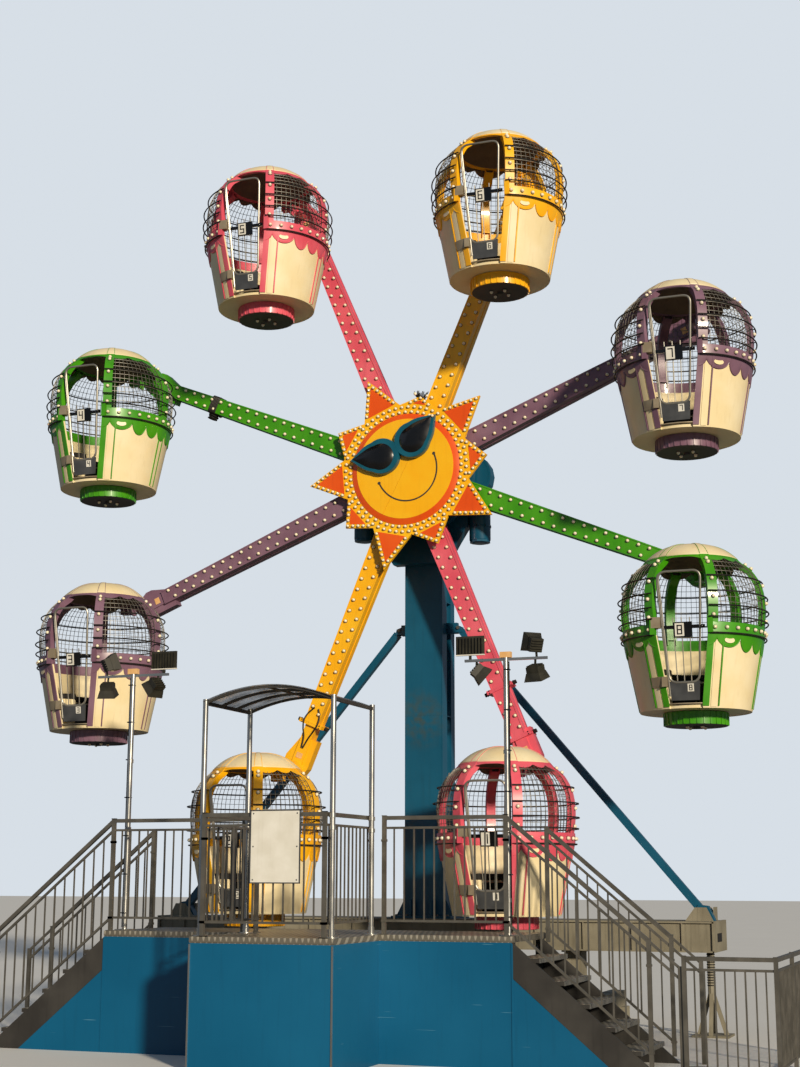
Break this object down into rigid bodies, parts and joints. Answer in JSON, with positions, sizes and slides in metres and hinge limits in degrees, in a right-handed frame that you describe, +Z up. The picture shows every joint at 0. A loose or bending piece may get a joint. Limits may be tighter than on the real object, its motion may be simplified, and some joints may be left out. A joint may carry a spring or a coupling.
{
  "type": "ferris wheel",
  "caption": "Travelling fairground wheel with round domed cabs on tapered arms, a single tower, a raised loading deck with stairs and rails, a canopy and lamp masts.",
  "frame": {"origin": "on the ground under the middle of the tower", "axes": "+Z up, -Y towards the boarding side and the front of the wheel, +X to the right seen from the front"},
  "size_m": [9.5464, 7.77, 10.9755],
  "materials": {
    "paint_yellow": "gloss",
    "paint_purple": "gloss",
    "paint_green": "gloss",
    "paint_pink": "gloss",
    "paint_cream": "satin",
    "roof_cream": "satin",
    "door_alloy": "satin",
    "tower_blue": "gloss",
    "skirt_blue": "satin",
    "sun_orange": "gloss",
    "base_tan": "matte",
    "deck_plate": "chequered",
    "stair_dark": "matte",
    "galvanised": "dull",
    "canopy_frame": "satin"
  },
  "bodies": {
    "base": {"base_frame": "base_tan", "tower": "tower_blue", "brace_left": "tower_blue", "brace_right": "tower_blue", "drive_head": "tower_blue", "deck": "deck_plate", "deck_skirt": "skirt_blue", "stair_left": "stair_dark", "stair_right": "stair_dark", "deck_rail_left": "galvanised", "deck_rail_right": "galvanised", "stair_rail_left": "galvanised", "stair_rail_right": "galvanised", "bay_rail": "galvanised", "canopy": "canopy_frame", "lamp_mast_left": "galvanised", "lamp_mast_right": "galvanised", "queue_fence": "galvanised"},
    "wheel": {"hub_ring": "tower_blue", "sun_face": "sun_orange", "arm_1": "paint_yellow", "arm_2": "paint_purple", "arm_3": "paint_green", "arm_4": "paint_pink", "arm_5": "paint_yellow", "arm_6": "paint_purple", "arm_7": "paint_green", "arm_8": "paint_pink"},
    "cab_1": {"cab_1_tub": "paint_cream", "cab_1_frame": "paint_yellow", "cab_1_roof": "roof_cream"},
    "door_1": {"cab_1_door": "door_alloy"},
    "cab_2": {"cab_2_tub": "paint_cream", "cab_2_frame": "paint_purple", "cab_2_roof": "roof_cream"},
    "door_2": {"cab_2_door": "door_alloy"},
    "cab_3": {"cab_3_tub": "paint_cream", "cab_3_frame": "paint_green", "cab_3_roof": "roof_cream"},
    "door_3": {"cab_3_door": "door_alloy"},
    "cab_4": {"cab_4_tub": "paint_cream", "cab_4_frame": "paint_pink", "cab_4_roof": "roof_cream"},
    "door_4": {"cab_4_door": "door_alloy"},
    "cab_5": {"cab_5_tub": "paint_cream", "cab_5_frame": "paint_yellow", "cab_5_roof": "roof_cream"},
    "door_5": {"cab_5_door": "door_alloy"},
    "cab_6": {"cab_6_tub": "paint_cream", "cab_6_frame": "paint_purple", "cab_6_roof": "roof_cream"},
    "door_6": {"cab_6_door": "door_alloy"},
    "cab_7": {"cab_7_tub": "paint_cream", "cab_7_frame": "paint_green", "cab_7_roof": "roof_cream"},
    "door_7": {"cab_7_door": "door_alloy"},
    "cab_8": {"cab_8_tub": "paint_cream", "cab_8_frame": "paint_pink", "cab_8_roof": "roof_cream"},
    "door_8": {"cab_8_door": "door_alloy"}
  },
  "joints": [
    {"name": "wheel_spin", "type": "hinge", "parent": "base", "child": "wheel", "pos_m": [0, -0.5, 7.03], "axis": [0, 1, 0], "continuous": true},
    {"name": "cab_1_swing", "type": "hinge", "parent": "wheel", "child": "cab_1", "pos_m": [1.5824, -1.2, 10.85024], "axis": [0, 1, 0], "continuous": true},
    {"name": "cab_1_door", "type": "hinge", "parent": "cab_1", "child": "door_1", "pos_m": [1.4174, -2.522, 9.19024], "axis": [0.0556, 0.1357, -0.9892], "range_deg": [0, 90]},
    {"name": "cab_2_swing", "type": "hinge", "parent": "wheel", "child": "cab_2", "pos_m": [3.82024, -1.2, 8.6124], "axis": [0, 1, 0], "continuous": true},
    {"name": "cab_2_door", "type": "hinge", "parent": "cab_2", "child": "door_2", "pos_m": [3.65524, -2.522, 6.9524], "axis": [0.0556, 0.1357, -0.9892], "range_deg": [0, 90]},
    {"name": "cab_3_swing", "type": "hinge", "parent": "wheel", "child": "cab_3", "pos_m": [3.82024, -1.2, 5.4476], "axis": [0, 1, 0], "continuous": true},
    {"name": "cab_3_door", "type": "hinge", "parent": "cab_3", "child": "door_3", "pos_m": [3.65524, -2.522, 3.7876], "axis": [0.0556, 0.1357, -0.9892], "range_deg": [0, 90]},
    {"name": "cab_4_swing", "type": "hinge", "parent": "wheel", "child": "cab_4", "pos_m": [1.5824, -1.2, 3.20976], "axis": [0, 1, 0], "continuous": true},
    {"name": "cab_4_door", "type": "hinge", "parent": "cab_4", "child": "door_4", "pos_m": [1.4174, -2.522, 1.54976], "axis": [0.0556, 0.1357, -0.9892], "range_deg": [0, 90]},
    {"name": "cab_5_swing", "type": "hinge", "parent": "wheel", "child": "cab_5", "pos_m": [-1.5824, -1.2, 3.20976], "axis": [0, 1, 0], "continuous": true},
    {"name": "cab_5_door", "type": "hinge", "parent": "cab_5", "child": "door_5", "pos_m": [-1.7474, -2.522, 1.54976], "axis": [0.0556, 0.1357, -0.9892], "range_deg": [0, 90]},
    {"name": "cab_6_swing", "type": "hinge", "parent": "wheel", "child": "cab_6", "pos_m": [-3.82024, -1.2, 5.4476], "axis": [0, 1, 0], "continuous": true},
    {"name": "cab_6_door", "type": "hinge", "parent": "cab_6", "child": "door_6", "pos_m": [-3.98524, -2.522, 3.7876], "axis": [0.0556, 0.1357, -0.9892], "range_deg": [0, 90]},
    {"name": "cab_7_swing", "type": "hinge", "parent": "wheel", "child": "cab_7", "pos_m": [-3.82024, -1.2, 8.6124], "axis": [0, 1, 0], "continuous": true},
    {"name": "cab_7_door", "type": "hinge", "parent": "cab_7", "child": "door_7", "pos_m": [-3.98524, -2.522, 6.9524], "axis": [0.0556, 0.1357, -0.9892], "range_deg": [0, 90]},
    {"name": "cab_8_swing", "type": "hinge", "parent": "wheel", "child": "cab_8", "pos_m": [-1.5824, -1.2, 10.85024], "axis": [0, 1, 0], "continuous": true},
    {"name": "cab_8_door", "type": "hinge", "parent": "cab_8", "child": "door_8", "pos_m": [-1.7474, -2.522, 9.19024], "axis": [0.0556, 0.1357, -0.9892], "range_deg": [0, 90]}
  ],
  "couplings": [
    {"joint": "cab_1_swing", "follows": "wheel_spin", "ratio": -1},
    {"joint": "cab_2_swing", "follows": "wheel_spin", "ratio": -1},
    {"joint": "cab_3_swing", "follows": "wheel_spin", "ratio": -1},
    {"joint": "cab_4_swing", "follows": "wheel_spin", "ratio": -1},
    {"joint": "cab_5_swing", "follows": "wheel_spin", "ratio": -1},
    {"joint": "cab_6_swing", "follows": "wheel_spin", "ratio": -1},
    {"joint": "cab_7_swing", "follows": "wheel_spin", "ratio": -1},
    {"joint": "cab_8_swing", "follows": "wheel_spin", "ratio": -1}
  ]
}
